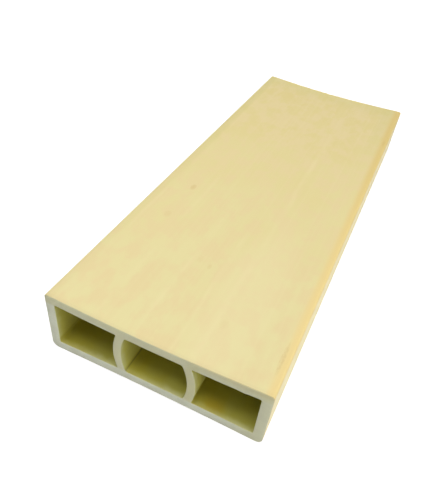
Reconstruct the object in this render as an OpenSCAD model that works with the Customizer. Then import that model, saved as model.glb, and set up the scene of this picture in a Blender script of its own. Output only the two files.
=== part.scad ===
// Hollow extruded PVC board, cut to a short length: one piece with three
// chambers side by side, lying flat on its back face.
// X runs across the width, Y along the length and Z up through the thickness.
// The origin is at the centre of the plane that the board rests on.

/* [Body] */
// Width over both edges
body_w = 100; // [85:1:140]
// Thickness at the edges
body_h = 32.8; // [25:0.1:45]
// Cut length
body_l = 263; // [60:1:3000]

/* [Walls] */
// Thickness of the two edge walls
side_wall = 4.3; // [3:0.1:7]
// Thickness of the wall behind the upper, visible face
face_wall = 4.4; // [3:0.1:7]
// Thickness of the wall behind the lower face
back_wall = 4.7; // [3:0.1:7]
// Thickness of the two inner webs
web_t = 3.6; // [2:0.1:5]

/* [Chambers] */
// Width of the left chamber where its web bows most
left_chamber_w = 27.6; // [22:0.1:31]
// Width of the middle chamber where its webs bow most
middle_chamber_w = 30.4; // [26:0.1:34]
// How far each web bows outwards, at mid height on the left one
web_bow = 2.4; // [0.5:0.1:3]
// How far below mid height the right web bows most
right_bow_drop = 2; // [0:0.1:3]

/* [Faces] */
// Depth of the shallow hollow across the upper face
face_dish = 1.25; // [0.4:0.05:2]
// Depth of the shallow hollow across the lower face
back_dish = 0.8; // [0.4:0.05:2]
// Flat strip along each edge of both faces
edge_strip = 4.5; // [4:0.1:8]

/* [Rounding] */
// Radius of the two long edges of the upper face
face_edge_r = 1.2; // [0.3:0.1:2]
// Radius of the two long edges of the lower face
back_edge_r = 3; // [0.3:0.1:3.5]
// Radius in the corners of the chambers
chamber_r = 0.8; // [0.3:0.1:2]

/* [Hidden] */
$fn = 720;
// Overshoot of cutting shapes past the face that they cut
past = 1;
// How far a chamber fillet's circle bites into the walls, so that it always meets them
bite = 0.0005;

half_w = body_w / 2;
dish_half_w = half_w - edge_strip;

// Radius of an arc from its half chord and its depth, to a hundredth
function arc_r(half_chord, depth) =
    round(50 * (half_chord * half_chord + depth * depth) / depth) / 100;
// One crossing of two circles, on the left of the line from a to b for side 1
function crossing(a, ra, b, rb, side) =
    let (gap = norm(b - a),
         along = (b - a) / gap,
         t = (ra * ra - rb * rb + gap * gap) / (2 * gap),
         h = sqrt(ra * ra - t * t))
    a + t * along + side * h * [-along[1], along[0]];
// Unit vector from p to q
function towards(p, q) = (q - p) / norm(q - p);

// The two faces are arcs between their flat edge strips
face_r = arc_r(dish_half_w, face_dish);
face_c = [0, body_h - face_dish + face_r];
back_r = arc_r(dish_half_w, back_dish);
back_c = [0, back_dish - back_r];

// The chambers' ceiling and floor keep the walls' thickness behind those arcs
ceiling_r = face_r + face_wall;
floor_r = back_r + back_wall;

// Each web is a band between two arcs about one centre, and stands where its
// face in the middle chamber bows most
inner_h = body_h - face_wall - back_wall;
mid_z = back_wall + inner_h / 2;
web_r = arc_r(inner_h / 2, web_bow);
left_wall_x = -half_w + side_wall;
right_wall_x = half_w - side_wall;
left_web_x = left_wall_x + left_chamber_w + web_t;
right_web_x = left_web_x + middle_chamber_w;
left_web_c = [left_web_x + web_r, mid_z];
right_web_c = [right_web_x - web_r, mid_z - right_bow_drop];

// What is cut off a square corner at the origin to round it
module corner_cut(r) {
    difference() {
        translate([-past, -past]) square(r + past);
        translate([r, r]) circle(r);
    }
}

// What is filled in a chamber corner: c is the fillet's centre, and u and v
// point from it to the two walls that it touches. The reach covers the corner
// even where a web leans far over it.
module corner_fill(c, u, v) {
    reach = chamber_r * 3;
    difference() {
        polygon([c, c + reach * u, c + reach * (u + v), c + reach * v]);
        translate(c) circle(chamber_r + bite);
    }
}

// The board's outline, with rounded long edges and hollowed faces
module outline() {
    difference() {
        translate([-half_w, 0]) square([body_w, body_h]);
        for (side = [0, 1]) mirror([side, 0]) {
            translate([-half_w, 0]) corner_cut(back_edge_r);
            translate([-half_w, body_h]) mirror([0, 1]) corner_cut(face_edge_r);
        }
        translate(face_c) circle(face_r);
        translate(back_c) circle(back_r);
    }
}

// Everything between the floor and the ceiling of the chambers from x0 to x1
module between_walls(x0, x1) {
    difference() {
        translate([x0, 0]) square([x1 - x0, body_h]);
        translate(face_c) circle(ceiling_r);
        translate(back_c) circle(floor_r);
    }
}

// Fillets where an outer chamber's straight wall meets its ceiling and floor
module straight_wall_fills(wall_x, dir) {
    x = wall_x + dir * chamber_r;
    top = [x, face_c[1] - sqrt(pow(ceiling_r + chamber_r, 2) - x * x)];
    bottom = [x, back_c[1] + sqrt(pow(floor_r + chamber_r, 2) - x * x)];
    corner_fill(top, [-dir, 0], towards(top, face_c));
    corner_fill(bottom, [-dir, 0], towards(bottom, back_c));
}

// Fillets where a web's face meets the ceiling and floor: r is the face's
// radius, and hollow is 1 on the side that the web curves round, or -1
module web_fills(web_c, r, hollow, side) {
    top = crossing(face_c, ceiling_r + chamber_r, web_c, r - hollow * chamber_r, side);
    bottom = crossing(back_c, floor_r + chamber_r, web_c, r - hollow * chamber_r, -side);
    corner_fill(top, -hollow * towards(top, web_c), towards(top, face_c));
    corner_fill(bottom, -hollow * towards(bottom, web_c), towards(bottom, back_c));
}

module left_chamber() {
    difference() {
        between_walls(left_wall_x, left_web_x);
        translate(left_web_c) circle(web_r + web_t);
        straight_wall_fills(left_wall_x, 1);
        web_fills(left_web_c, web_r + web_t, -1, -1);
    }
}

module middle_chamber() {
    difference() {
        intersection() {
            between_walls(left_web_x - past, right_web_x + past);
            translate(left_web_c) circle(web_r);
            translate(right_web_c) circle(web_r);
        }
        web_fills(left_web_c, web_r, 1, -1);
        web_fills(right_web_c, web_r, 1, 1);
    }
}

module right_chamber() {
    difference() {
        between_walls(right_web_x, right_wall_x);
        translate(right_web_c) circle(web_r + web_t);
        straight_wall_fills(right_wall_x, -1);
        web_fills(right_web_c, web_r + web_t, -1, 1);
    }
}

module section() {
    difference() {
        outline();
        left_chamber();
        middle_chamber();
        right_chamber();
    }
}

module panel() {
    color([0.93, 0.87, 0.66])
        translate([0, body_l / 2, 0]) rotate([90, 0, 0])
            linear_extrude(body_l) section();
}

panel();
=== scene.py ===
import math

import bmesh
import bpy
from mathutils import Matrix, Vector, noise


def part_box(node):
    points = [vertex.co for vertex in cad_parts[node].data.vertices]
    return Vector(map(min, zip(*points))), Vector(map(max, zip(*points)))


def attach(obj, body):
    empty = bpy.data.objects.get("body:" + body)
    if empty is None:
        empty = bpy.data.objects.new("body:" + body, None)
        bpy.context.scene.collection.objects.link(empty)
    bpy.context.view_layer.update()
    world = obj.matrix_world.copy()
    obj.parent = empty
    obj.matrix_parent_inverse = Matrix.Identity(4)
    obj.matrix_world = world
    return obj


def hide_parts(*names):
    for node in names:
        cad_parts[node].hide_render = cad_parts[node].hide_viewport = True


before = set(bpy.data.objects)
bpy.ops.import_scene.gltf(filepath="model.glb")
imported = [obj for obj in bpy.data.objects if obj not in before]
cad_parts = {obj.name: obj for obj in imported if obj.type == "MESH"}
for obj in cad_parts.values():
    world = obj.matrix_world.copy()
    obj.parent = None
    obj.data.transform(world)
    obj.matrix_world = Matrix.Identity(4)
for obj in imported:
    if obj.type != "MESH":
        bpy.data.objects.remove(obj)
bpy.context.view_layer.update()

MM = 0.001

# The board's overall size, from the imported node
LOW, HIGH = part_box("panel")
HALF_W = (HIGH[0] - LOW[0]) / 2
HALF_L = (HIGH[1] - LOW[1]) / 2
HEIGHT = HIGH[2] - LOW[2]

# The section's own sizes
SIDE_WALL = 4.3 * MM
FACE_WALL = 4.4 * MM
BACK_WALL = 4.7 * MM
WEB_T = 3.6 * MM
LEFT_CHAMBER_W = 27.6 * MM
MIDDLE_CHAMBER_W = 30.4 * MM
WEB_BOW = 2.4 * MM
RIGHT_BOW_DROP = 2.0 * MM
FACE_DISH = 1.25 * MM
BACK_DISH = 0.8 * MM
EDGE_STRIP = 4.5 * MM
FACE_EDGE_R = 1.2 * MM
BACK_EDGE_R = 3.0 * MM
CHAMBER_R = 0.8 * MM

# The saw's traces: broken edges round the ends, and burrs in the chambers' mouths
RIM_BREAK = 0.2 * MM
BURR_DEPTH = 0.8 * MM
BURR_REACH = 0.15 * MM
LARGE_BURR_REACH = 0.4 * MM
LARGE_BURR_X = 38.5 * MM
LARGE_BURR_HALF_W = 4 * MM

# How finely the curves and the length are divided
COLUMN_STEP = 1.5 * MM
ROW_STEP = 1.5 * MM
LENGTH_STEP = 4 * MM

# The camera stands where the photo was taken from
CAMERA_AT = Vector((59.4, -235.0, 188.3)) * MM
CAMERA_LOOKS_AT = Vector((-5.1, -53.7, 16.4)) * MM
CAMERA_ROLL = math.radians(7.8)
LENS = 36.3


def arc_r(half_chord, depth):
    """Radius of an arc from its half chord and its depth."""
    return (half_chord ** 2 + depth ** 2) / (2 * depth)


def sag(x, half_chord, depth):
    """How far an arc has sunk at x, from 0 at its chord's ends to its depth in the middle."""
    if abs(x) >= half_chord:
        return 0.0
    r = arc_r(half_chord, depth)
    return math.sqrt(r * r - x * x) - (r - depth)


DISH_HALF_W = HALF_W - EDGE_STRIP
FLOOR_Z = BACK_WALL
CEILING_Z = HEIGHT - FACE_WALL
MID_Z = (FLOOR_Z + CEILING_Z) / 2
WEB_R = arc_r((CEILING_Z - FLOOR_Z) / 2, WEB_BOW)
LEFT_WALL_X = -HALF_W + SIDE_WALL
RIGHT_WALL_X = HALF_W - SIDE_WALL
LEFT_WEB_X = LEFT_WALL_X + LEFT_CHAMBER_W + WEB_T
RIGHT_WEB_X = LEFT_WEB_X + MIDDLE_CHAMBER_W


class WebFace:
    """One face of a web: an arc, which leaves its centre on the side that it bows to."""

    def __init__(self, centre_x, centre_z, radius, side):
        self.centre_x = centre_x
        self.centre_z = centre_z
        self.radius = radius
        self.side = side
        # Where the face stands before it is bowed
        self.chord_x = (self.at(FLOOR_Z) + self.at(CEILING_Z)) / 2

    def at(self, z):
        return self.centre_x + self.side * math.sqrt(self.radius ** 2 - (z - self.centre_z) ** 2)


WEB_FACES = (
    WebFace(LEFT_WEB_X + WEB_R, MID_Z, WEB_R + WEB_T, -1),
    WebFace(LEFT_WEB_X + WEB_R, MID_Z, WEB_R, -1),
    WebFace(RIGHT_WEB_X - WEB_R, MID_Z - RIGHT_BOW_DROP, WEB_R, 1),
    WebFace(RIGHT_WEB_X - WEB_R, MID_Z - RIGHT_BOW_DROP, WEB_R + WEB_T, 1),
)

# Where each chamber starts and ends across the board before its webs are bowed
CHAMBERS = (
    (LEFT_WALL_X, WEB_FACES[0].chord_x),
    (WEB_FACES[1].chord_x, WEB_FACES[2].chord_x),
    (WEB_FACES[3].chord_x, RIGHT_WALL_X),
)


def clear_selection():
    if bpy.context.mode != "OBJECT":
        bpy.ops.object.mode_set(mode="OBJECT")
    bpy.ops.object.select_all(action="DESELECT")


def edit(obj):
    clear_selection()
    obj.select_set(True)
    bpy.context.view_layer.objects.active = obj
    bpy.ops.object.mode_set(mode="EDIT")
    bpy.ops.mesh.select_mode(type="VERT")
    bpy.ops.mesh.select_all(action="DESELECT")


def leave_edit():
    bpy.ops.object.mode_set(mode="OBJECT")


def pick(obj, kind, test):
    """In edit mode, selects just the edges or faces that pass a test."""
    bpy.ops.mesh.select_mode(type={"edges": "EDGE", "faces": "FACE"}[kind])
    bpy.ops.mesh.select_all(action="DESELECT")
    bm = bmesh.from_edit_mesh(obj.data)
    bm.normal_update()
    for item in getattr(bm, kind):
        if test(item):
            item.select_set(True)
    bmesh.update_edit_mesh(obj.data)


def cut(axis, places):
    """Cuts all of the mesh being edited across an axis at each place."""
    normal = [0.0, 0.0, 0.0]
    normal[axis] = 1.0
    for place in places:
        point = [0.0, 0.0, 0.0]
        point[axis] = place
        bpy.ops.mesh.select_all(action="SELECT")
        bpy.ops.mesh.bisect(plane_co=point, plane_no=normal)


def between(start, end, step):
    """Evenly spaced places strictly between start and end, at most step apart."""
    count = math.ceil((end - start) / step - 1e-6)
    return [start + (end - start) * i / count for i in range(1, count)]


def near(a, b, reach=1e-6):
    return abs(a - b) < reach


def runs_lengthwise(edge):
    a, b = (v.co for v in edge.verts)
    return near(a.x, b.x) and near(a.z, b.z)


def curve_faces_and_webs(board):
    """Sinks the two broad faces into their shallow arcs and bows the webs outwards."""
    for v in board.data.vertices:
        x, z = v.co.x, v.co.z
        upper = -sag(x, DISH_HALF_W, FACE_DISH)
        lower = sag(x, DISH_HALF_W, BACK_DISH)
        share = min(max((z - FLOOR_Z) / (CEILING_Z - FLOOR_Z), 0), 1)
        v.co.z = z + share * upper + (1 - share) * lower
        for face in WEB_FACES:
            if near(x, face.chord_x) and FLOOR_Z - 1e-6 < z < CEILING_Z + 1e-6:
                v.co.x = face.at(v.co.z)


def open_chambers(board):
    """Deletes the chambers' mouths at both ends and joins them through the board."""
    def in_mouth(face):
        c = face.calc_center_median()
        inside = any(start < c.x < end for start, end in CHAMBERS)
        return abs(face.normal.y) > 0.9 and inside and FLOOR_Z < c.z < CEILING_Z

    pick(board, "faces", in_mouth)
    bpy.ops.mesh.delete(type="FACE")
    for start, end in CHAMBERS:
        pick(board, "edges", lambda e: e.is_boundary and all(
            start - 1e-6 < v.co.x < end + 1e-6 for v in e.verts))
        bpy.ops.mesh.bridge_edge_loops()
    bpy.ops.mesh.select_all(action="SELECT")
    bpy.ops.mesh.normals_make_consistent(inside=False)


def round_lengthwise_edges(board):
    def outer_edge(height):
        return lambda e: (runs_lengthwise(e) and near(abs(e.verts[0].co.x), HALF_W)
                          and near(e.verts[0].co.z, height))

    def chamber_corner(edge):
        if not runs_lengthwise(edge) or len(edge.link_faces) != 2:
            return False
        place = edge.verts[0].co
        inside = HALF_W - abs(place.x) > SIDE_WALL - 0.1 * MM
        level = FLOOR_Z - 0.1 * MM < place.z < CEILING_Z + 0.1 * MM
        return inside and level and edge.calc_face_angle() > math.radians(60)

    pick(board, "edges", outer_edge(HEIGHT))
    bpy.ops.mesh.bevel(offset=FACE_EDGE_R, segments=6, affect="EDGES", clamp_overlap=False)
    pick(board, "edges", outer_edge(0))
    bpy.ops.mesh.bevel(offset=BACK_EDGE_R, segments=10, affect="EDGES", clamp_overlap=False)
    pick(board, "edges", chamber_corner)
    bpy.ops.mesh.bevel(offset=CHAMBER_R, segments=5, affect="EDGES", clamp_overlap=False)


def break_end_rims(board):
    """The saw and handling leave every edge of the two ends very slightly broken."""
    def on_rim(edge):
        if not all(near(abs(v.co.y), HALF_L) for v in edge.verts):
            return False
        tilts = sorted(abs(f.normal.y) for f in edge.link_faces)
        return tilts[0] < 0.5 < tilts[1]

    pick(board, "edges", on_rim)
    bpy.ops.mesh.bevel(offset=RIM_BREAK, segments=2, affect="EDGES", clamp_overlap=False)


def raise_burrs(board):
    """Pushes the chambers' rims unevenly inwards, most at one burr over the right chamber."""
    bm = bmesh.new()
    bm.from_mesh(board.data)
    bm.normal_update()
    moves = []
    for v in bm.verts:
        at_end = HALF_L - abs(v.co.y) < RIM_BREAK + 1e-6
        in_section = abs(v.co.x) < HALF_W - 3 * MM and 3 * MM < v.co.z < HEIGHT - 3 * MM
        walls = [f.normal for f in v.link_faces if abs(f.normal.y) < 0.95]
        if not (at_end and in_section and walls):
            continue
        inwards = sum(walls, Vector())
        inwards.y = 0
        wander = 0.5 + 0.5 * noise.noise(v.co * 900)
        reach = BURR_REACH * wander
        if v.co.y < 0 and inwards.z < -abs(inwards.x):
            swell = max(0, 1 - abs(v.co.x - LARGE_BURR_X) / LARGE_BURR_HALF_W)
            reach = max(reach, LARGE_BURR_REACH * swell)
        moves.append((v, inwards.normalized() * reach))
    for v, move in moves:
        v.co += move
    bm.to_mesh(board.data)
    bm.free()


def make_board():
    clear_selection()
    bpy.ops.mesh.primitive_cube_add(size=1, location=(0, 0, HEIGHT / 2))
    board = bpy.context.object
    board.name = "pvc_board"
    board.scale = (2 * HALF_W, 2 * HALF_L, HEIGHT)
    bpy.ops.object.transform_apply(location=True, rotation=True, scale=True)

    edit(board)
    for start, end in CHAMBERS:
        cut(0, [start, end] + between(start, end, COLUMN_STEP))
    cut(2, [FLOOR_Z, CEILING_Z] + between(FLOOR_Z, CEILING_Z, ROW_STEP))
    open_chambers(board)
    leave_edit()
    curve_faces_and_webs(board)

    edit(board)
    round_lengthwise_edges(board)
    break_end_rims(board)
    cut(1, [BURR_DEPTH - HALF_L, HALF_L - BURR_DEPTH])
    cut(1, between(BURR_DEPTH - HALF_L, HALF_L - BURR_DEPTH, LENGTH_STEP))
    bpy.ops.mesh.select_all(action="SELECT")
    bpy.ops.mesh.normals_make_consistent(inside=False)
    leave_edit()
    raise_burrs(board)
    return board


# Linear colours of the plastic and of what lies on it, with painted light and shade in some
CREAM = (0.815, 0.726, 0.373)
CREAM_AGED_AND_SHADED = (0.78, 0.646, 0.28)
CREAM_ROSY = (0.815, 0.672, 0.350)
CREAM_DULL = (0.66, 0.60, 0.22)
CREAM_PALE = (0.88, 0.78, 0.444)
YELLOWED = (0.845, 0.668, 0.293)
YELLOWED_DEEP_AND_SHADED = (0.755, 0.578, 0.213)
EDGE_DARK = (0.42, 0.34, 0.17)
SPECK = (0.6, 0.4, 0.11)
SCUFF = (0.62, 0.44, 0.18)
SAWN = (0.795, 0.815, 0.65)
SAWN_CREAM = (0.72, 0.705, 0.45)
SAWN_WARM = (0.69, 0.665, 0.385)
SAWN_BROWN = (0.68, 0.62, 0.34)
SAWN_DULL = (0.66, 0.655, 0.48)
# The chamber colours, far darker and more olive than the skin of the same plastic, are painted shade of the
# hollows
CHAMBER = (0.535, 0.505, 0.092)
CHAMBER_LEFT_SHADE = (0.53, 0.47, 0.053)
CHAMBER_SIDE_LIT = (0.64, 0.6, 0.135)
CHAMBER_STAIN = (0.53, 0.41, 0.03)
CHAMBER_SHADE = (0.30, 0.27, 0.04)
CHAMBER_DUST_AND_LIGHT = (0.65, 0.64, 0.28)


class Finish:
    """The nodes of one finish, with its patterns laid out in millimetres on the board."""

    def __init__(self, name, roughness):
        self.material = bpy.data.materials.new(name)
        self.material.use_nodes = True
        self.tree = self.material.node_tree
        self.shader = self.tree.nodes["Principled BSDF"]
        self.shader.inputs["Roughness"].default_value = roughness
        place = self.add("ShaderNodeTexCoord").outputs["Object"]
        scaled = self.add("ShaderNodeVectorMath", operation="SCALE")
        scaled.inputs["Scale"].default_value = 1 / MM
        self.feed(place, scaled.inputs[0])
        self.place = scaled.outputs[0]
        split = self.add("ShaderNodeSeparateXYZ")
        self.feed(self.place, split.inputs[0])
        self.x, self.y, self.z = split.outputs

    def add(self, kind, **settings):
        node = self.tree.nodes.new(kind)
        for name, value in settings.items():
            setattr(node, name, value)
        return node

    def feed(self, value, socket):
        """Links an output to a socket, or sets the socket to a number or colour."""
        if isinstance(value, bpy.types.NodeSocket):
            self.tree.links.new(value, socket)
        elif isinstance(value, tuple):
            socket.default_value = (*value, 1)
        else:
            socket.default_value = value

    def maths(self, operation, a, b=0.0):
        node = self.add("ShaderNodeMath", operation=operation)
        self.feed(a, node.inputs[0])
        self.feed(b, node.inputs[1])
        return node.outputs[0]

    def ramp(self, value, start, end, low=0.0, high=1.0):
        """A smooth change from low to high as the value goes from start to end."""
        node = self.add("ShaderNodeMapRange", interpolation_type="SMOOTHSTEP")
        for socket, number in zip(node.inputs, (value, start, end, low, high)):
            self.feed(number, socket)
        return node.outputs[0]

    def band(self, value, start, end, soft):
        """1 from start to end, fading to 0 over a soft margin at both sides."""
        rise = self.ramp(value, start - soft, start + soft)
        fall = self.ramp(value, end + soft, end - soft)
        return self.maths("MULTIPLY", rise, fall)

    def noise(self, across, along, detail=2.0, up=None):
        """Noise with patches of the given sizes across, along and up the board."""
        stretch = self.add("ShaderNodeVectorMath", operation="DIVIDE")
        self.feed(self.place, stretch.inputs[0])
        stretch.inputs[1].default_value = (across, along, up or across)
        texture = self.add("ShaderNodeTexNoise")
        texture.inputs["Scale"].default_value = 1.0
        texture.inputs["Detail"].default_value = detail
        self.feed(stretch.outputs[0], texture.inputs["Vector"])
        return texture.outputs[0]

    def spot(self, x, y, across, along, soft=0.6):
        """1 in an oval spot about a point of the upper face, fading at its rim."""
        dx = self.maths("DIVIDE", self.maths("SUBTRACT", self.x, x), across)
        dy = self.maths("DIVIDE", self.maths("SUBTRACT", self.y, y), along)
        square = self.maths("ADD", self.maths("MULTIPLY", dx, dx), self.maths("MULTIPLY", dy, dy))
        inside = self.ramp(square, 1 + soft, 1 - soft)
        return self.maths("MULTIPLY", inside, self.ramp(self.z, 28, 30))

    def blend(self, share, a, b):
        node = self.add("ShaderNodeMix", data_type="RGBA")
        self.feed(share, node.inputs["Factor"])
        self.feed(a, node.inputs[6])
        self.feed(b, node.inputs[7])
        return node.outputs[2]

    def colour(self, value):
        self.feed(value, self.shader.inputs["Base Color"])

    def roughen(self, value):
        self.feed(value, self.shader.inputs["Roughness"])

    def bump(self, height, depth):
        node = self.add("ShaderNodeBump")
        node.inputs["Distance"].default_value = depth
        self.feed(height, node.inputs["Height"])
        self.feed(node.outputs[0], self.shader.inputs["Normal"])


def extruded_skin():
    f = Finish("extruded cream skin", 0.45)
    f.shader.inputs["Specular IOR Level"].default_value = 0.2
    # The far end is painted yellower and darker: partly ageing, partly painted shade of the light falling off
    # along the length
    ageing_and_falloff = f.maths("ADD", f.y, f.ramp(f.noise(30, 40, 2), 0.3, 0.7, -25, 25))
    colour = f.blend(f.ramp(ageing_and_falloff, -150, 150), CREAM, CREAM_AGED_AND_SHADED)
    mottle = f.ramp(f.noise(7, 11, 3), 0.36, 0.65, 0, 0.85)
    colour = f.blend(mottle, colour, CREAM_ROSY)

    # Faint lines that the die draws along the whole length
    die_lines = f.noise(1.3, 400, 2)
    colour = f.blend(f.ramp(die_lines, 0.45, 0.75, 0, 0.1), colour, CREAM_PALE)

    # Faint pale streaks run along the visible face in places, the longest over the right web; the last, along
    # the left edge strip, is a painted highlight where the flat strip meets the dish
    wander = f.maths("ADD", f.x, f.ramp(f.noise(6, 50, 1), 0.3, 0.7, -0.6, 0.6))
    broken = f.ramp(f.noise(5, 22, 2), 0.35, 0.6, 0.15, 1)
    streaks_and_highlight = ((16.4, -150, 66, 1.1, 0.25), (6.6, -150, -52, 0.4, 0.5), (-8.5, -150, -45, 0.7, 0.4),
               (-26.5, -150, -10, 0.9, 0.2), (-45.2, -150, -35, 0.3, 0.5))
    for middle, start, end, half_w, strength in streaks_and_highlight:
        line = f.maths("MULTIPLY", f.band(wander, middle - half_w, middle + half_w, 1.3), broken)
        line = f.maths("MULTIPLY", line, f.band(f.y, start, end, 12))
        colour = f.blend(f.maths("MULTIPLY", line, strength), colour, CREAM_PALE)

    # The face is palest in a broad patch beside the right web
    pale = f.maths("MULTIPLY", f.spot(22, -92, 13, 50, 0.9), 0.27)
    colour = f.blend(pale, colour, CREAM_PALE)

    # The last stretch before the far end is darker, and so is a strip near each edge, most towards that end
    colour = f.blend(f.ramp(f.y, 108, 131, 0, 0.32), colour, CREAM_DULL)
    darker_share = f.maths("MULTIPLY", f.ramp(f.x, -43.5, -46.5), f.ramp(f.y, -130, 130, 0.05, 0.4))
    colour = f.blend(darker_share, colour, CREAM_DULL)
    darker_share = f.maths("MULTIPLY", f.band(f.x, 38, 46, 3), f.ramp(f.y, 30, 110, 0, 0.22))
    colour = f.blend(darker_share, colour, CREAM_DULL)

    # The sides and the back are paler than the visible face
    colour = f.blend(f.ramp(f.z, 30, 27, 0, 0.7), colour, CREAM_PALE)

    # The right edge wall has yellowed, in a band that widens to the far end, and faintly its side; towards
    # the far end the band is also painted darker as shade of the light falling off along the length
    yellow_and_shade = f.blend(f.ramp(f.y, -110, 110), YELLOWED, YELLOWED_DEEP_AND_SHADED)
    widened = f.maths("ADD", f.x, f.ramp(f.y, -110, 110, 0, 0.8))
    share = f.maths("MULTIPLY", f.ramp(widened, 44.8, 48.6), f.ramp(f.z, 28, 32, 0.2, 1))
    colour = f.blend(share, colour, yellow_and_shade)

    # Specks on the upper face, and a scuff near its right corner
    specks = ((-33.6, -31.7, 1.3, 2.4, 0.27), (-34, -58.8, 1.6, 2.4, 0.1), (47.8, 78, 0.9, 4, 0.16),
              (0.3, -81.8, 0.9, 1.6, 0.12), (-5.6, -79.6, 1.4, 2, 0.05), (20, -109, 1.8, 2.6, 0.07))
    for x, y, across, along, strength in specks:
        colour = f.blend(f.maths("MULTIPLY", f.spot(x, y, across, along, 0.9), strength), colour, SPECK)
    scuff = f.maths("MULTIPLY", f.spot(46.6, -114, 0.9, 8), f.ramp(f.noise(0.8, 2, 2), 0.35, 0.65, 0.1, 0.32))
    colour = f.blend(scuff, colour, SCUFF)

    # Darker beside the near end and in its broken edge, most towards the right
    colour = f.blend(f.ramp(f.y, -HALF_L / MM + 2.5, -HALF_L / MM + 0.5, 0, 0.1), colour, EDGE_DARK)
    rim_dark = f.ramp(f.y, -HALF_L / MM + 0.5, -HALF_L / MM + 0.1)
    colour = f.blend(f.maths("MULTIPLY", rim_dark, f.ramp(f.x, -10, 40, 0.15, 0.6)), colour, EDGE_DARK)
    f.colour(colour)
    f.roughen(f.ramp(f.noise(3, 20, 3), 0.3, 0.7, 0.4, 0.52))
    f.bump(f.maths("ADD", die_lines, f.noise(0.5, 1.2, 2)), 0.02 * MM)
    return f.material


def sawn_end():
    f = Finish("sawn end", 0.8)
    along_cut = f.maths("ADD", f.maths("MULTIPLY", f.z, 0.9), f.maths("MULTIPLY", f.x, 0.35))
    strokes = f.add("ShaderNodeTexNoise", noise_dimensions="1D")
    strokes.inputs["Scale"].default_value = 2.2
    strokes.inputs["Detail"].default_value = 3.0
    f.feed(along_cut, strokes.inputs["W"])
    grain = f.noise(1.2, 1.2, 3)

    # The webs and the upper wall show creamier than the rest, and towards the right the end is painted
    # creamier and darker as shade
    webs = f.maths("MULTIPLY", f.band(f.x, -19, 22, 1.5), f.ramp(f.z, 4.5, 7))
    creamy_and_shaded = f.maths("MAXIMUM", webs, f.ramp(f.z, 27, 29))
    creamy_and_shaded = f.maths("MAXIMUM", creamy_and_shaded, f.ramp(f.x, 30, 46, 0, 0.75))
    colour = f.blend(creamy_and_shaded, SAWN, SAWN_CREAM)
    right_web = f.maths("MULTIPLY", f.band(f.x, 15, 20, 1.5), f.ramp(f.z, 4.5, 7))
    colour = f.blend(right_web, colour, SAWN_WARM)
    below_edge = f.maths("MULTIPLY", f.ramp(f.z, 29.5, 31.5), f.ramp(f.x, -5, 35, 0, 0.8))
    colour = f.blend(below_edge, colour, SAWN_BROWN)
    colour = f.blend(f.ramp(f.noise(7, 7, 3), 0.35, 0.7, 0, 0.35), colour, SAWN_DULL)
    colour = f.blend(f.ramp(strokes.outputs[0], 0.45, 0.7, 0, 0.3), colour, SAWN_DULL)
    f.colour(colour)
    f.roughen(f.ramp(grain, 0.3, 0.7, 0.7, 0.9))
    f.bump(f.maths("ADD", strokes.outputs[0], grain), 0.08 * MM)
    return f.material


def shaded_chamber_wall():
    # The chambers are painted darker than the skin, as shade of the hollows
    f = Finish("shaded chamber wall", 0.5)
    draw_lines = f.noise(1.6, 300, 3)

    # Each chamber's floor and ceiling are painted warmer and darker towards the left as shade, and its sides
    # paler as painted light
    to_right = 0.0
    for start, end in CHAMBERS:
        here = f.maths("LESS_THAN", f.x, end / MM + 2)
        share = f.maths("MULTIPLY", f.ramp(f.x, start / MM, end / MM), here)
        to_right = f.maths("MAXIMUM", share, to_right)
    patches = f.ramp(f.noise(9, 18, 3), 0.35, 0.65, -0.25, 0.25)
    lit_sides = f.band(f.z, 7, 26, 0.7)
    colour = f.blend(f.maths("ADD", to_right, patches), CHAMBER_LEFT_SHADE, CHAMBER)
    colour = f.blend(f.maths("MULTIPLY", lit_sides, f.ramp(f.x, -40, -25, 0.6, 1)), colour, CHAMBER_SIDE_LIT)

    # A brownish stain lies on the floor of the right chamber, and painted shade darkens the lower corners
    stain = f.maths("MULTIPLY", f.band(f.x, 23, 31, 3), f.band(f.y, -131, -125, 3))
    colour = f.blend(f.maths("MULTIPLY", stain, f.ramp(f.z, 10, 7)), colour, CHAMBER_STAIN)
    corner_shade = f.maths("MULTIPLY", f.band(f.z, 5.75, 6.3, 0.2), f.ramp(f.x, -40, -25, 0.25, 0.9))
    colour = f.blend(corner_shade, colour, CHAMBER_SHADE)

    # The left chamber is painted a little darker all over, as shade
    colour = f.blend(f.ramp(f.x, -14, -18, 0, 0.12), colour, CHAMBER_SHADE)

    # The mouths are paler, partly with saw dust and partly with painted light where light reaches in, least
    # along the left of each floor
    depth = f.maths("SUBTRACT", HALF_L / MM, f.maths("ABSOLUTE", f.y))
    reach = f.maths("ADD", depth, f.ramp(f.noise(5, 5, 1), 0.3, 0.7, -0.5, 0.5))
    amount = f.maths("ADD", f.maths("MULTIPLY", to_right, 0.65), 0.35)
    amount = f.maths("MAXIMUM", amount, f.maths("MULTIPLY", lit_sides, 0.7))
    amount = f.maths("MULTIPLY", amount, f.maths("SUBTRACT", 1, f.maths("MULTIPLY", stain, 0.5)))
    dust_and_light = f.maths("MULTIPLY", f.ramp(reach, 3.5, 0), amount)
    colour = f.blend(dust_and_light, colour, CHAMBER_DUST_AND_LIGHT)
    f.colour(colour)
    f.roughen(f.ramp(draw_lines, 0.3, 0.7, 0.45, 0.6))
    f.bump(draw_lines, 0.05 * MM)
    return f.material


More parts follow.
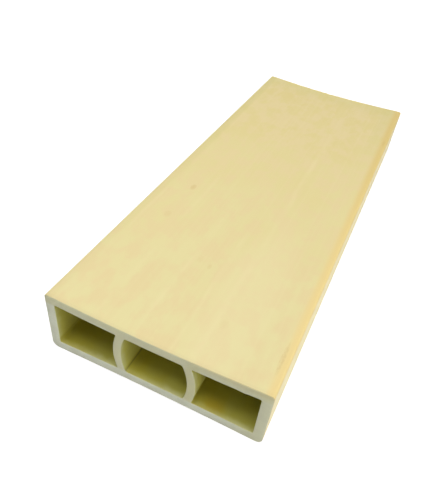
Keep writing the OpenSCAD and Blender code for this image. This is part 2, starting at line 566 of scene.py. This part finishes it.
def finish_surfaces(board):
    """The outer skin, the sawn ends and the chambers' walls each have their own material, the chambers'
    painted darker as shade of the hollows.
    """
    for material in (extruded_skin(), sawn_end(), shaded_chamber_wall()):
        board.data.materials.append(material)
    for face in board.data.polygons:
        c = face.center
        in_section = abs(c.x) < HALF_W - 3 * MM and 3 * MM < c.z < HEIGHT - 3 * MM
        if abs(face.normal.y) > 0.8:
            face.material_index = 1
        elif in_section:
            face.material_index = 2
        else:
            face.material_index = 0
    clear_selection()
    board.select_set(True)
    bpy.context.view_layer.objects.active = board
    bpy.ops.object.shade_smooth_by_angle(angle=math.radians(25))


def white_for_the_camera(tree, lit, white):
    """Keeps the white that the camera and mirrors see apart from what lights the board."""
    mix = tree.nodes.new("ShaderNodeMixShader")
    path = tree.nodes.new("ShaderNodeLightPath")
    seen = tree.nodes.new("ShaderNodeMath")
    seen.operation = "MAXIMUM"
    tree.links.new(path.outputs["Is Camera Ray"], seen.inputs[0])
    tree.links.new(path.outputs["Is Glossy Ray"], seen.inputs[1])
    tree.links.new(seen.outputs[0], mix.inputs[0])
    tree.links.new(lit, mix.inputs[1])
    tree.links.new(white, mix.inputs[2])
    return mix.outputs[0]


def make_floor():
    clear_selection()
    bpy.ops.mesh.primitive_plane_add(size=8, location=(0, 0, 0))
    floor = bpy.context.object
    floor.name = "floor"
    material = bpy.data.materials.new("pale floor")
    material.use_nodes = True
    tree = material.node_tree
    tree.nodes.clear()
    out = tree.nodes.new("ShaderNodeOutputMaterial")
    pale = tree.nodes.new("ShaderNodeBsdfDiffuse")
    pale.inputs["Color"].default_value = (0.8, 0.8, 0.8, 1)
    shaded = tree.nodes.new("ShaderNodeBsdfDiffuse")
    shaded.inputs["Color"].default_value = (0.4, 0.4, 0.4, 1)
    glow = tree.nodes.new("ShaderNodeEmission")
    place = tree.nodes.new("ShaderNodeTexCoord")
    distance = tree.nodes.new("ShaderNodeVectorMath")
    distance.operation = "LENGTH"
    brighten = tree.nodes.new("ShaderNodeMapRange")
    for socket, number in zip(brighten.inputs[1:5], (0.3, 1.2, 0.8, 1.05)):
        socket.default_value = number
    tree.links.new(place.outputs["Object"], distance.inputs[0])
    tree.links.new(distance.outputs["Value"], brighten.inputs["Value"])
    tree.links.new(brighten.outputs[0], glow.inputs["Strength"])
    both = tree.nodes.new("ShaderNodeAddShader")
    tree.links.new(shaded.outputs[0], both.inputs[0])
    tree.links.new(glow.outputs[0], both.inputs[1])
    surface = white_for_the_camera(tree, pale.outputs[0], both.outputs[0])
    tree.links.new(surface, out.inputs["Surface"])
    floor.data.materials.append(material)


def make_world():
    world = bpy.data.worlds.new("studio")
    bpy.context.scene.world = world
    world.use_nodes = True
    tree = world.node_tree
    tree.nodes.clear()
    out = tree.nodes.new("ShaderNodeOutputWorld")
    light = tree.nodes.new("ShaderNodeBackground")
    light.inputs["Color"].default_value = (1, 1, 1, 1)
    light.inputs["Strength"].default_value = 0.055
    white = tree.nodes.new("ShaderNodeBackground")
    white.inputs["Color"].default_value = (1, 1, 1, 1)
    surface = white_for_the_camera(tree, light.outputs[0], white.outputs[0])
    tree.links.new(surface, out.inputs["Surface"])


def make_softbox(name, at, target, size, power):
    data = bpy.data.lights.new(name, "AREA")
    data.shape = "DISK"
    data.size = size
    data.energy = power
    lamp = bpy.data.objects.new(name, data)
    bpy.context.scene.collection.objects.link(lamp)
    lamp.location = at
    lamp.rotation_euler = (Vector(target) - Vector(at)).to_track_quat("-Z", "Y").to_euler()


def make_camera():
    data = bpy.data.cameras.new("camera")
    camera = bpy.data.objects.new("camera", data)
    bpy.context.scene.collection.objects.link(camera)
    aim = (CAMERA_LOOKS_AT - CAMERA_AT).to_track_quat("-Z", "Y").to_matrix()
    turn = aim @ Matrix.Rotation(CAMERA_ROLL, 3, "Z")
    camera.matrix_world = Matrix.Translation(CAMERA_AT) @ turn.to_4x4()
    data.lens = LENS
    data.clip_start = 0.01
    bpy.context.scene.camera = camera


make_camera()
make_world()
make_floor()
make_softbox("overhead softbox", (0, -0.12, 0.98), (0, -0.1, 0), 0.8, 7.85)
make_softbox("left softbox", (-0.5, -0.42, 0.85), (0, -0.1, 0), 0.6, 1.1)
make_softbox("right softbox", (0.9, -0.3, 0.5), (0, -0.1, 0), 0.4, 1.3)
make_softbox("low right fill", (0.8, -0.15, 0.2), (0, -0.1, 0), 0.3, 1.5)
make_softbox("low front fill", (0.55, -0.75, 0.1), (0, -0.1, 0), 0.4, 0.75)
make_softbox("low back fill", (-0.15, 0.95, 0.01), (0, 0.1, 0.01), 0.08, 3.5)

board = make_board()
finish_surfaces(board)
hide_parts("panel")
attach(board, "root")

bpy.context.scene.view_settings.view_transform = "Standard"
